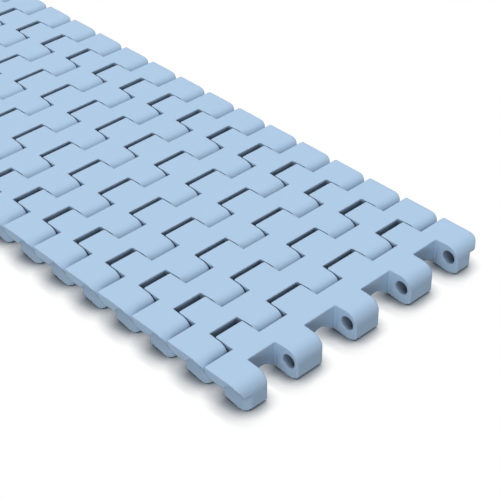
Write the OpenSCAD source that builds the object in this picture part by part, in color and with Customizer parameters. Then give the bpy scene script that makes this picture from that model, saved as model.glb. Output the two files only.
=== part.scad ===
// Modular plastic conveyor belt, closed flat top, 15.2 mm pitch.
// A stretch of belt rows lies flat with its carrying surface up. Each row is one moulded module
// as wide as the belt. Its five front knuckles mesh with the four back knuckles of the row before
// it, and a loose plastic rod through both is the hinge.
//
// X runs across the belt, Y along it and Z up. The origin is on the surface that the belt rests on,
// under the middle of the stretch. The front knuckles of every row point to -Y.

/* [Belt] */
// Hinge to hinge distance
pitch = 15.2; // [14.5:0.1:17]
// Width over the two edges
belt_w = 100; // [96:0.5:110]
// Carrying surface to the underside of the knuckles
belt_t = 9.3; // [9.1:0.1:10]
// Carrying surface down to the hinge axis
hinge_drop = 4.1; // [3.8:0.05:4.3]
// Carrying surface down to the underside of the web between the hinges
web_drop = 4.75; // [4.6:0.05:5.4]
// Angle that two rows can bend as the belt wraps a sprocket
wrap_angle = 36; // [20:1:38]
// Air left between two rows at that angle
wrap_gap = 0.3; // [0.2:0.05:0.5]

/* [Knuckles] */
// Width of each edge knuckle
edge_knuckle_w = 10.5; // [9.5:0.1:11.5]
// Width of the two front knuckles between the edges and the middle
inner_knuckle_w = 10.75; // [9.5:0.05:11.5]
// Width of the middle front knuckle
centre_knuckle_w = 10.5; // [9.5:0.1:11.5]
// Width of the two outer notches between front knuckles
outer_notch_w = 10.7; // [9.8:0.1:11.5]
// Air at each side of a back knuckle in its notch
side_gap = 0.2; // [0.15:0.05:0.5]
// Taper of each side of a front knuckle from root to tip
knuckle_taper = 0.3; // [0.1:0.05:0.5]
// Hinge axis to the front face of a front knuckle
nose_reach = 3.35; // [3:0.05:3.5]
// Rounding of the upper front edge of a front knuckle
nose_r = 4.1; // [3:0.1:4.3]
// Large round under the front of a front knuckle
toe_r = 4.5; // [3.6:0.1:6]
// Hinge axis forward to the start of that round
toe_start = 0.5; // [0:0.1:1]
// Hinge axis to the end face of a back knuckle
heel_reach = 2.8; // [2.6:0.05:3.1]
// Rounding of the upright edges at both knuckle tips
tip_edge_r = 0.6; // [0.3:0.1:1]
// Hinge axis back to the end of the flat strip that a front knuckle stands on
sole_flat = 0.4; // [0:0.1:1]
// Hinge axis to the rear end of a front knuckle's sole
sole_l = 6; // [5.4:0.1:6.6]
// Rise of the sole from its flat strip to its rear end
sole_rise = 0.95; // [0.2:0.05:1.1]

/* [Web] */
// Hinge axis to the face of the two inner notches
inner_notch_face = 4.55; // [4.5:0.05:5]
// Hinge axis to the face of the two outer notches
outer_notch_face = 5.05; // [4.8:0.05:5.4]
// Rounding where a notch face meets the knuckle beside it
notch_fillet = 0.4; // [0.2:0.1:1]
// Hinge axis to the top edge that faces the next middle knuckle
centre_lip_reach = 3.6; // [3.5:0.05:4.1]
// Hinge axis to the top edge that faces the next inner knuckles
inner_lip_reach = 4.0; // [3.6:0.05:4.3]
// Hinge axis to the top edge that faces the next edge knuckles
edge_lip_reach = 4.35; // [3.8:0.05:4.6]
// Height of the upright edge of that lip
lip_t = 1.0; // [0.6:0.1:1.3]
// Height of the two feet of the arch under a notch
arch_foot = 0.8; // [0.4:0.1:1.2]
// Slope of that arch from its feet to its ridge
arch_slope = 36; // [28:1:36]
// Rounding of its ridge
arch_r = 4; // [3:0.1:4.4]
// Rounding of the groove across the underside of the web
groove_r = 1.5; // [0.5:0.1:2]
// Hinge axis to the front wall of a back knuckle
heel_front = 3.2; // [3:0.05:3.6]

/* [Belt edge] */
// Depth of the recess below the edge lip
recess_depth = 2.6; // [1.5:0.1:3.2]
// Height of the edge lip between the hinges
edge_lip_h = 2.95; // [2.2:0.05:3.2]
// Height of the edge lip over the hinge
edge_lip_crown = 0.7; // [0.5:0.05:1]
// Radius of the scallop in the edge lip over the hinge
scallop_r = 3.1; // [2.8:0.05:3.3]
// Hinge axis to the middle of the scallop
scallop_y = 0.25; // [0:0.05:0.6]
// Underside of the knuckles to the tip of the edge lip in front of the scallop
lip_tip_h = 5.6; // [5.2:0.1:6.2]
// Rounding of the rear lower corner of the edge lip
edge_lip_r = 2.8; // [0.6:0.1:2.9]
// Rounding of the upright front corner of the belt edge
edge_corner_r = 2.8; // [0.8:0.1:3]
// Rounding of the upright rear corner of the edge lip
lip_corner_r = 0.5; // [0.3:0.1:1.6]
// Rounding of the upright corner of the recessed knuckle end
recess_corner_r = 2.3; // [1:0.1:2.5]

/* [Hinge rods] */
// Rod diameter
rod_d = 4.4; // [3.8:0.05:4.5]
// Air all round a rod in its bore
rod_clearance = 0.05; // [0.03:0.01:0.1]
// Wall that closes the hinge bore at the left belt edge
end_wall = 1.5; // [1:0.1:2.5]
// Air between a rod and that wall, and how far its other end lies inside the right belt edge
rod_end_inset = 0.1; // [0.05:0.05:0.5]
// Height of the snap bead above the rod
bead_h = 0.2; // [0.1:0.05:0.3]
// Width of the snap bead
bead_w = 1.2; // [0.8:0.1:1.6]
// Rod end to the middle of the snap bead
bead_inset = 2.6; // [2:0.1:3.5]
// Chamfer of the rod ends
rod_chamfer = 0.4; // [0.2:0.1:0.8]

/* [Hidden] */
ROWS = 17;
$fn = 64;
eps = 0.01;
ridge_steps = 3;
far = 40;

belt_colour = [0.66, 0.78, 0.90];
rod_colour = [0.56, 0.68, 0.82];

hinge_h = belt_t - hinge_drop;
web_h = belt_t - web_drop;
bore_d = rod_d + 2 * rod_clearance;

// Front knuckles and notches across the belt, each as [left side, right side].
edge_x = belt_w / 2;
notch_4_x = edge_x - edge_knuckle_w - outer_notch_w;
notch_3_x = centre_knuckle_w / 2;
KNUCKLES = [
    [-edge_x, -edge_x + edge_knuckle_w],
    [-notch_4_x, -notch_4_x + inner_knuckle_w],
    [-notch_3_x, notch_3_x],
    [notch_4_x - inner_knuckle_w, notch_4_x],
    [edge_x - edge_knuckle_w, edge_x]
];
LAST_KNUCKLE = len(KNUCKLES) - 1;
NOTCHES = [for (i = [1 : LAST_KNUCKLE]) [KNUCKLES[i - 1][1], KNUCKLES[i][0]]];
LAST_NOTCH = len(NOTCHES) - 1;
LIP_REACH = [edge_lip_reach, inner_lip_reach, centre_lip_reach, inner_lip_reach, edge_lip_reach];
NOTCH_FACE = [outer_notch_face, inner_notch_face, inner_notch_face, outer_notch_face];

// Where a front knuckle, turned by the wrap angle about the rear hinge, passes the web underside:
// the hollow behind the web clears that point.
toe_depth = (nose_reach * sin(wrap_angle) + web_drop - hinge_drop) / cos(wrap_angle);
hollow_r = norm([nose_reach, toe_depth]) + wrap_gap;
// The heel's rounding keeps it clear of the next row's notch face at the wrap angle.
heel_r = (heel_reach * cos(wrap_angle) + hinge_h * sin(wrap_angle) - inner_notch_face + wrap_gap)
         / (cos(wrap_angle) + sin(wrap_angle) - 1);
recess_x = edge_x - recess_depth;
bore_x = end_wall - recess_x;
rod_x = bore_x + rod_end_inset;
rod_l = recess_x - rod_end_inset - rod_x;
bead_l = rod_l - bead_inset;
bead_r = rod_d / 2 + bead_h;

// Front hinge axis of row i. The stretch lies evenly about the origin from its first nose to its last heel.
function row_y(i) = (i - ROWS / 2 - 1) * pitch + (nose_reach - heel_reach) / 2;
// Whether the given side of front knuckle k (0 left, 1 right) is the belt edge.
function is_edge(k, side) = k == side * LAST_KNUCKLE;
function tag(name, i) = str(name, i < 10 ? "0" : "", i);

// ---- helpers ----

// Extrudes a (y, z) profile across the belt from x0 to x1.
module across(x0, x1) {
    translate([x0, 0, 0])
        rotate([90, 0, 90])
            linear_extrude(height = x1 - x0)
                children();
}

// The sliver that rounds a square corner: it sits in the first quadrant with the corner at the origin.
module corner_waste(r) {
    difference() {
        translate([-1, -1])
            square(r + 1);
        translate([r, r])
            circle(r);
    }
}

// ---- side profiles of a row, in (y, z) ----

// Front knuckle with the web behind it. The lip at its top rear ends lip_reach before the rear hinge.
module knuckle_profile(lip_reach) {
    difference() {
        translate([-nose_reach, 0])
            square([pitch - lip_reach + nose_reach, belt_t]);
        translate([-nose_reach, belt_t])
            mirror([0, 1])
                corner_waste(nose_r);
        toe_waste();
        rear_hollow_profile();
        groove_profile(pitch);
    }
}

// What the large round under the front of a front knuckle leaves over.
module toe_waste() {
    translate([-toe_start, 0])
        mirror([1, 0])
            difference() {
                translate([0, -1])
                    square(toe_r + 1);
                translate([0, toe_r])
                    circle(toe_r);
            }
}

// Slope that lifts the sole of the front knuckles from its flat strip to its rear end.
module sole_waste() {
    polygon([[sole_flat, -1], [sole_flat, 0], [sole_l, sole_rise], [sole_l, -1]]);
}

// Room behind the web in which the next row's front knuckle turns, below the lip.
module rear_hollow_profile() {
    intersection() {
        translate([pitch, hinge_h])
            circle(hollow_r);
        translate([0, -far])
            square([far, far + belt_t - lip_t]);
    }
    translate([pitch - hollow_r, -1])
        square([hollow_r, hinge_h + 1]);
}

// Groove across the underside of the web, from the knuckle soles to groove_end.
module groove_profile(groove_end) {
    difference() {
        translate([sole_l, -1])
            square([groove_end - sole_l, web_h + 1]);
        translate([sole_l, web_h])
            mirror([0, 1])
                corner_waste(groove_r);
        translate([groove_end, web_h])
            rotate(180)
                corner_waste(groove_r);
    }
}

// Web behind a notch with the back knuckle on it.
module heel_profile(notch_face) {
    difference() {
        translate([notch_face, 0])
            square([pitch + heel_reach - notch_face, belt_t]);
        translate([pitch + heel_reach, 0])
            mirror([1, 0])
                corner_waste(heel_r);
        groove_profile(pitch - heel_front);
    }
}

// Everything below the edge lip, seen from the side, with the scallop over the hinge.
module recess_profile() {
    translate([scallop_y - far, -1])
        square([far, lip_tip_h + 1]);
    translate([scallop_y, -1])
        square([far, belt_t - edge_lip_h + 1]);
    translate([pitch - edge_lip_reach, belt_t - edge_lip_h])
        mirror([1, 0])
            corner_waste(edge_lip_r);
    translate([scallop_y, belt_t - edge_lip_crown - scallop_r])
        circle(scallop_r);
}

// ---- parts of a row ----

// Plan outline of front knuckle k and of the web behind it. The knuckle tapers towards its tip, but
// is straight at the belt edge. The web meets the back knuckles at both sides.
module knuckle_plan(k) {
    difference() {
        knuckle_outline(k);
        for (side = [0, 1])
            translate([KNUCKLES[k][side], -nose_reach])
                mirror([side, 0])
                    translate([is_edge(k, side) ? 0 : knuckle_taper, 0])
                        corner_waste(is_edge(k, side) ? edge_corner_r : tip_edge_r);
        for (side = [0, 1])
            if (is_edge(k, side))
                translate([KNUCKLES[k][side], pitch - edge_lip_reach])
                    mirror([side, 0])
                        mirror([0, 1])
                            corner_waste(lip_corner_r);
    }
}

// The same outline with sharp corners.
module knuckle_outline(k) {
    left = KNUCKLES[k][0];
    right = KNUCKLES[k][1];
    left_edge = is_edge(k, 0);
    right_edge = is_edge(k, 1);
    root = inner_notch_face - notch_fillet;
    meet = side_gap + eps;
    polygon([
        [left, pitch],
        [left, root],
        [left + (left_edge ? 0 : knuckle_taper), -nose_reach],
        [right - (right_edge ? 0 : knuckle_taper), -nose_reach],
        [right, root],
        [right, pitch]
    ]);
    if (!left_edge)
        translate([left - meet, NOTCH_FACE[k - 1]])
            square([meet + 1, pitch]);
    if (!right_edge)
        translate([right - 1, NOTCH_FACE[k]])
            square([meet + 1, pitch]);
}

module front_knuckle(k) {
    intersection() {
        across(KNUCKLES[k][0] - 1, KNUCKLES[k][1] + 1)
            knuckle_profile(LIP_REACH[k]);
        translate([0, 0, -1])
            linear_extrude(height = belt_t + 2)
                knuckle_plan(k);
    }
}

// Back knuckle in notch n with the web in front of it. It is narrower than the notch by the side gaps.
module back_knuckle(n) {
    left = NOTCHES[n][0] + side_gap;
    right = NOTCHES[n][1] - side_gap;
    difference() {
        across(left, right)
            heel_profile(NOTCH_FACE[n]);
        for (side = [0, 1])
            translate([side == 0 ? left : right, pitch + heel_reach, -1])
                mirror([side, 0, 0])
                    mirror([0, 1, 0])
                        linear_extrude(height = belt_t + 2)
                            corner_waste(tip_edge_r);
    }
}

// Arched opening along the belt under the front of notch n. It slopes up from the knuckles at both
// sides to a round ridge.
module arch(n) {
    half_w = (NOTCHES[n][1] - NOTCHES[n][0]) / 2;
    ridge_z = arch_foot + (half_w * sin(arch_slope) - arch_r) / cos(arch_slope);
    translate([NOTCHES[n][0] + half_w, sole_l + groove_r, 0])
        rotate([90, 0, 0])
            linear_extrude(height = sole_l + groove_r)
                polygon([
                    [half_w, arch_foot],
                    [half_w, -1],
                    [-half_w, -1],
                    [-half_w, arch_foot],
                    for (turn = [-arch_slope : arch_slope / ridge_steps : arch_slope])
                        [arch_r * sin(turn), ridge_z + arch_r * cos(turn)]
                ]);
}

// Upright fillets in the two corners of notch n.
module notch_fillets(n) {
    for (side = [0, 1])
        translate([NOTCHES[n][side], NOTCH_FACE[n], 0])
            mirror([side, 0, 0])
                mirror([0, 1, 0])
                    linear_extrude(height = belt_t)
                        intersection() {
                            translate([-eps, -eps])
                                square(notch_fillet);
                            corner_waste(notch_fillet);
                        }
}

// What is cut from the right edge of a row: the recess below the lip, and under the lip the rounded
// front corner of the recessed knuckle end.
module edge_recess() {
    across(recess_x, edge_x + 1)
        recess_profile();
    intersection() {
        across(recess_x - recess_corner_r, edge_x + 1)
            recess_profile();
        translate([recess_x, -nose_reach, -1])
            mirror([1, 0, 0])
                linear_extrude(height = belt_t + 2)
                    corner_waste(recess_corner_r);
    }
}

// Hinge bore, open at the right belt edge only.
module hinge_bore(y) {
    translate([bore_x, y, hinge_h])
        rotate([0, 90, 0])
            cylinder(h = belt_w, d = bore_d);
}

// Groove in the right edge knuckle that the snap bead of a rod sits in.
module bead_groove() {
    translate([rod_x + bead_l - bead_w / 2 - rod_clearance, 0, hinge_h])
        rotate([0, 90, 0])
            cylinder(h = bead_w + 2 * rod_clearance, r = bead_r + rod_clearance);
}

// One moulded row with its front hinge axis over the origin.
module row_body() {
    difference() {
        union() {
            for (k = [0 : LAST_KNUCKLE])
                front_knuckle(k);
            for (n = [0 : LAST_NOTCH]) {
                back_knuckle(n);
                notch_fillets(n);
            }
        }
        across(-edge_x - 1, edge_x + 1)
            sole_waste();
        for (n = [0 : LAST_NOTCH])
            arch(n);
        for (side = [0, 1])
            mirror([side, 0, 0])
                edge_recess();
        hinge_bore(0);
        hinge_bore(pitch);
        bead_groove();
    }
}

module belt_row(i) {
    color(belt_colour)
        translate([0, row_y(i), 0])
            row_body();
}

// Half outline of a rod, in (radius, length): chamfered ends and the snap bead.
module rod_profile() {
    rod_r = rod_d / 2;
    polygon([
        [0, 0],
        [rod_r - rod_chamfer, 0],
        [rod_r, rod_chamfer],
        [rod_r, rod_l - rod_chamfer],
        [rod_r - rod_chamfer, rod_l],
        [0, rod_l]
    ]);
    polygon([
        [0, bead_l - bead_w / 2],
        [rod_r, bead_l - bead_w / 2],
        [bead_r, bead_l - bead_w / 4],
        [bead_r, bead_l + bead_w / 4],
        [rod_r, bead_l + bead_w / 2],
        [0, bead_l + bead_w / 2]
    ]);
}

// Rod through the back knuckles of row i and the front knuckles of row i + 1.
module hinge_rod(i) {
    color(rod_colour)
        translate([rod_x, row_y(i + 1), hinge_h])
            rotate([90, 0, 90])
                rotate_extrude()
                    rod_profile();
}

for (i = [1 : ROWS])
    belt_row(i);
for (i = [1 : ROWS - 1])
    hinge_rod(i);
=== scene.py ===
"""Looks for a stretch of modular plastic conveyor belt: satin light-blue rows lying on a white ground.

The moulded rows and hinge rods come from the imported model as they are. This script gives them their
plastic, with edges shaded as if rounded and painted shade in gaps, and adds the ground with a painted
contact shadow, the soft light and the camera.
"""

import math

import bpy
from mathutils import Euler, Matrix

MM = 0.001

# ---- camera, from the middle of the belt's underside ----
CAMERA_PLACE = (-240.65 * MM, -334.645 * MM, 262.96 * MM)
CAMERA_HEADING = 43.83  # degrees from +Y towards +X
CAMERA_DIP = 36.64  # degrees below the horizon
CAMERA_ROLL = -0.19  # degrees
LENS = 102.4  # mm, as is the sensor's width
SENSOR = 36.0
NEAREST = 0.01  # metres, as is the furthest distance that the camera sees
FURTHEST = 20.0

# ---- colours, linear ----
BELT_BLUE = (0.420, 0.588, 0.788)
ROD_BLUE = (0.350, 0.500, 0.690)
WHITE = (1.0, 1.0, 1.0)
GROUND_BOUNCE = (0.05, 0.05, 0.05)
# Tint of the ground's painted shadow.
PAINTED_SHADOW_TINT = (1.08, 1.0, 0.92)  # power of the ground's shade in red, green and blue

# ---- light: an even sky with soft patches, each as (heading, height, tightness, strength) ----
# Headings go from +Y towards +X, heights up from the horizon, both in degrees.
SKY_LEVEL = 0.2
SKY_PATCHES = (
    (0, 90, 8, 2.45),
    (0, 45, 6, 1.41),
    (234, 6, 40, 11.1),
)
UNDER_GLOW = (0, -90, 40, 5.5)  # a weak patch from straight below, for the underside

# ---- plastic ----
PLASTIC_IOR = 1.48
PLASTIC_SPECULAR = 0.25
BELT_ROUGHNESS = 0.5
ROD_ROUGHNESS = 0.4
EDGE_ROUND = 0.6 * MM  # the edges are shaded with this rounding
GRAIN_SIZE = 0.25 * MM  # satin texture of the mould
GRAIN_DEPTH = 0.004 * MM
GRAIN_STRENGTH = 0.6
CLOUDS_PER_METRE = 90.0  # flow clouds of the moulding
CLOUD_TINT = 0.015  # share by which they vary the colour
CLOUD_GLOSS = 0.04  # by how much they vary the roughness
# Painted shade in gaps: the plastic's colour is darkened where other surfaces stand near, in place of
# shade from the light.
PAINTED_GAP_SHADE_REACH = 6.0 * MM  # the surface darkens where others stand this near
PAINTED_GAP_SHADE_OPENNESS = (0.28, 0.52)  # share of open sky where that darkening is full, and where it ends
PAINTED_GAP_SHADE_KEPT = 0.28  # share of the colour that is left there
PLASTIC_SAMPLES = 8

# ---- ground ----
GROUND_HALF = 3.0  # metres
PAINTED_SHADOW_SAMPLES = 16
# Painted contact shadows on the ground: worked out from how near the belt is, not cast by the lights.
PAINTED_GROUND_SHADOWS = (  # contact shades of the belt on the ground, multiplied, each as (reach, way looked, power)
    (7.0 * MM, (0.8, -0.4, 0.45), 1.25),
    (4.2 * MM, (0.0, 0.0, 1.0), 1.4),
)


# ---- node helpers ----

def new_tree(holder):
    """An empty node tree on a material or world."""
    holder.use_nodes = True
    holder.node_tree.nodes.clear()
    return holder.node_tree


def add(tree, kind, **settings):
    """A new node: settings are its properties, or its inputs by name where they start with in_."""
    node = tree.nodes.new(kind)
    for name, value in settings.items():
        if name.startswith("in_"):
            node.inputs[name[3:].replace("_", " ")].default_value = value
        else:
            setattr(node, name, value)
    return node


def math_node(tree, operation, first, second):
    """A Math node: each value is a number or the output of another node."""
    node = add(tree, "ShaderNodeMath", operation=operation)
    for socket, value in zip(node.inputs, (first, second)):
        if isinstance(value, (int, float)):
            socket.default_value = value
        else:
            tree.links.new(value, socket)
    return node.outputs["Value"]


def map_range(tree, value, source, target):
    """The value, taken from one range to another and kept inside it."""
    node = add(tree, "ShaderNodeMapRange")
    for socket, number in zip(("From Min", "From Max", "To Min", "To Max"), (*source, *target)):
        node.inputs[socket].default_value = number
    tree.links.new(value, node.inputs["Value"])
    return node.outputs["Result"]


# ---- materials ----

def moulded_plastic(name, colour, roughness):
    """Satin moulded plastic: fine mould texture, faint flow clouds in colour and gloss, painted shade in
    gaps.
    """
    material = bpy.data.materials.new(name)
    tree = new_tree(material)
    link = tree.links.new
    out = add(tree, "ShaderNodeOutputMaterial")
    shader = add(tree, "ShaderNodeBsdfPrincipled", in_IOR=PLASTIC_IOR)
    shader.inputs["Specular IOR Level"].default_value = PLASTIC_SPECULAR
    place = add(tree, "ShaderNodeTexCoord")

    clouds = add(tree, "ShaderNodeTexNoise", in_Scale=CLOUDS_PER_METRE, in_Detail=3.0, in_Roughness=0.55)
    link(place.outputs["Object"], clouds.inputs["Vector"])
    tint = map_range(tree, clouds.outputs["Fac"], (0.0, 1.0), (1.0 - CLOUD_TINT, 1.0 + CLOUD_TINT))
    dull, bright = roughness + CLOUD_GLOSS, roughness - CLOUD_GLOSS
    link(map_range(tree, clouds.outputs["Fac"], (0.0, 1.0), (bright, dull)), shader.inputs["Roughness"])

    # Painted shade: the colour is darkened by how little open sky is near, not by blocked light.
    open_sky = add(tree, "ShaderNodeAmbientOcclusion", samples=PLASTIC_SAMPLES, in_Distance=PAINTED_GAP_SHADE_REACH)
    painted_gap_shade = map_range(tree, open_sky.outputs["AO"], PAINTED_GAP_SHADE_OPENNESS, (PAINTED_GAP_SHADE_KEPT, 1.0))
    shade = add(tree, "ShaderNodeMix", data_type="RGBA", blend_type="MULTIPLY")
    shade.inputs["Factor"].default_value = 1.0
    shade.inputs["A"].default_value = (*colour, 1.0)
    link(math_node(tree, "MULTIPLY", tint, painted_gap_shade), shade.inputs["B"])
    link(shade.outputs["Result"], shader.inputs["Base Color"])

    rounding = add(tree, "ShaderNodeBevel", samples=PLASTIC_SAMPLES, in_Radius=EDGE_ROUND)
    grain = add(tree, "ShaderNodeTexNoise", in_Scale=1 / GRAIN_SIZE, in_Detail=2.0)
    bump = add(tree, "ShaderNodeBump", in_Strength=GRAIN_STRENGTH, in_Distance=GRAIN_DEPTH)
    link(place.outputs["Object"], grain.inputs["Vector"])
    link(rounding.outputs["Normal"], bump.inputs["Normal"])
    link(grain.outputs["Fac"], bump.inputs["Height"])
    link(bump.outputs["Normal"], shader.inputs["Normal"])
    link(shader.outputs["BSDF"], out.inputs["Surface"])
    return material


def white_ground():
    """White with the belt's painted contact shadow to the camera, a grey bounce to scattered light.

    It is clear from below and to shadow rays, so a belt that hangs lower than the ground is lit and seen,
    and the lights cast no shadow on it.
    """
    material = bpy.data.materials.new("ground")
    tree = new_tree(material)
    link = tree.links.new
    out = add(tree, "ShaderNodeOutputMaterial")
    path = add(tree, "ShaderNodeLightPath")
    side = add(tree, "ShaderNodeNewGeometry")

    # Painted shadow: the ground's colour darkens by how near the belt stands, not by blocked light.
    painted_shadow_depth = 1.0
    for reach, (x, y, z), power in PAINTED_GROUND_SHADOWS:
        lean = add(tree, "ShaderNodeCombineXYZ", in_X=x, in_Y=y, in_Z=z)
        near = add(tree, "ShaderNodeAmbientOcclusion", samples=PAINTED_SHADOW_SAMPLES, in_Distance=reach)
        link(lean.outputs["Vector"], near.inputs["Normal"])
        painted_shadow_depth = math_node(tree, "MULTIPLY", math_node(tree, "POWER", near.outputs["AO"], power), painted_shadow_depth)
    colour = add(tree, "ShaderNodeCombineColor")
    for socket, power in zip(colour.inputs, PAINTED_SHADOW_TINT):
        link(math_node(tree, "POWER", painted_shadow_depth, power), socket)
    painted_shadow = add(tree, "ShaderNodeBsdfTransparent")
    link(colour.outputs["Color"], painted_shadow.inputs["Color"])
    clear = add(tree, "ShaderNodeBsdfTransparent", in_Color=(*WHITE, 1.0))
    bounce = add(tree, "ShaderNodeBsdfDiffuse", in_Color=(*GROUND_BOUNCE, 1.0))

    seen = add(tree, "ShaderNodeMixShader")
    scattered = add(tree, "ShaderNodeMixShader")
    from_above = math_node(tree, "SUBTRACT", 1.0, side.outputs["Backfacing"])
    link(math_node(tree, "MULTIPLY", path.outputs["Is Camera Ray"], from_above), seen.inputs["Fac"])
    link(math_node(tree, "MULTIPLY", path.outputs["Is Diffuse Ray"], from_above), scattered.inputs["Fac"])
    link(clear.outputs["BSDF"], scattered.inputs[1])
    link(bounce.outputs["BSDF"], scattered.inputs[2])
    link(scattered.outputs["Shader"], seen.inputs[1])
    link(painted_shadow.outputs["BSDF"], seen.inputs[2])
    link(seen.outputs["Shader"], out.inputs["Surface"])
    return material


def give_material(piece, material):
    piece.data.materials.clear()
    piece.data.materials.append(material)


# ---- surroundings ----

def lay_ground(half):
    bpy.ops.mesh.primitive_plane_add(size=2 * half)
    ground = bpy.context.object
    ground.name = "ground"
    ground.data.materials.append(white_ground())


def sky_patch(tree, direction, heading, height, tightness, level):
    """The strength of one soft patch in a direction of the sky."""
    turn, lift = math.radians(heading), math.radians(height)
    towards = add(tree, "ShaderNodeVectorMath", operation="DOT_PRODUCT")
    towards.inputs[1].default_value = (
        math.sin(turn) * math.cos(lift), math.cos(turn) * math.cos(lift), math.sin(lift))
    tree.links.new(direction, towards.inputs[0])
    patch = math_node(tree, "MAXIMUM", towards.outputs["Value"], 0.0)
    return math_node(tree, "MULTIPLY", math_node(tree, "POWER", patch, tightness), level)


def light_sky():
    """A studio sky of soft patches. The camera, reflections and transmission see plain white."""
    world = bpy.data.worlds.new("studio")
    bpy.context.scene.world = world
    tree = new_tree(world)
    link = tree.links.new
    out = add(tree, "ShaderNodeOutputWorld")
    place = add(tree, "ShaderNodeTexCoord")
    strength = SKY_LEVEL
    for patch in SKY_PATCHES:
        strength = math_node(tree, "ADD", strength, sky_patch(tree, place.outputs["Generated"], *patch))
    split = add(tree, "ShaderNodeSeparateXYZ")
    link(place.outputs["Generated"], split.inputs["Vector"])
    above = math_node(tree, "GREATER_THAN", split.outputs["Z"], 0.0)
    strength = math_node(tree, "MULTIPLY", strength, above)
    under = sky_patch(tree, place.outputs["Generated"], *UNDER_GLOW)
    strength = math_node(tree, "ADD", strength, under)
    sky = add(tree, "ShaderNodeBackground", in_Color=(*WHITE, 1.0))
    link(strength, sky.inputs["Strength"])
    white = add(tree, "ShaderNodeBackground", in_Color=(*WHITE, 1.0), in_Strength=1.0)
    path = add(tree, "ShaderNodeLightPath")
    seen = math_node(tree, "MAXIMUM", path.outputs["Is Camera Ray"], path.outputs["Is Glossy Ray"])
    seen = math_node(tree, "MAXIMUM", seen, path.outputs["Is Transmission Ray"])
    pick = add(tree, "ShaderNodeMixShader")
    link(seen, pick.inputs["Fac"])
    link(sky.outputs["Background"], pick.inputs[1])
    link(white.outputs["Background"], pick.inputs[2])
    link(pick.outputs["Shader"], out.inputs["Surface"])


def place_camera():
    camera = bpy.data.objects.new("camera", bpy.data.cameras.new("camera"))
    bpy.context.collection.objects.link(camera)
    turn = Euler((math.radians(90 - CAMERA_DIP), 0, math.radians(-CAMERA_HEADING))).to_matrix()
    turn = turn @ Matrix.Rotation(math.radians(CAMERA_ROLL), 3, "Z")
    camera.matrix_world = Matrix.LocRotScale(CAMERA_PLACE, turn, None)
    camera.data.sensor_width = SENSOR
    camera.data.lens = LENS
    camera.data.clip_start = NEAREST
    camera.data.clip_end = FURTHEST
    bpy.context.scene.camera = camera


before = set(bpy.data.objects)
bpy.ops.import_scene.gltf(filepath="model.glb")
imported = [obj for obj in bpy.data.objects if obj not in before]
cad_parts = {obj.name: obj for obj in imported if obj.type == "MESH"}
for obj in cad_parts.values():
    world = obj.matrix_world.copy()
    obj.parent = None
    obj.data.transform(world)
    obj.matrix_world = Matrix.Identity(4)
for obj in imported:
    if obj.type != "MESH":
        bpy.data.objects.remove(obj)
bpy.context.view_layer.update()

place_camera()
belt_plastic = moulded_plastic("belt_plastic", BELT_BLUE, BELT_ROUGHNESS)
rod_plastic = moulded_plastic("rod_plastic", ROD_BLUE, ROD_ROUGHNESS)
for name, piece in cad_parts.items():
    give_material(piece, rod_plastic if name.startswith("hinge_rod") else belt_plastic)
lay_ground(GROUND_HALF)
light_sky()

scene = bpy.context.scene
scene.view_settings.view_transform = "Standard"
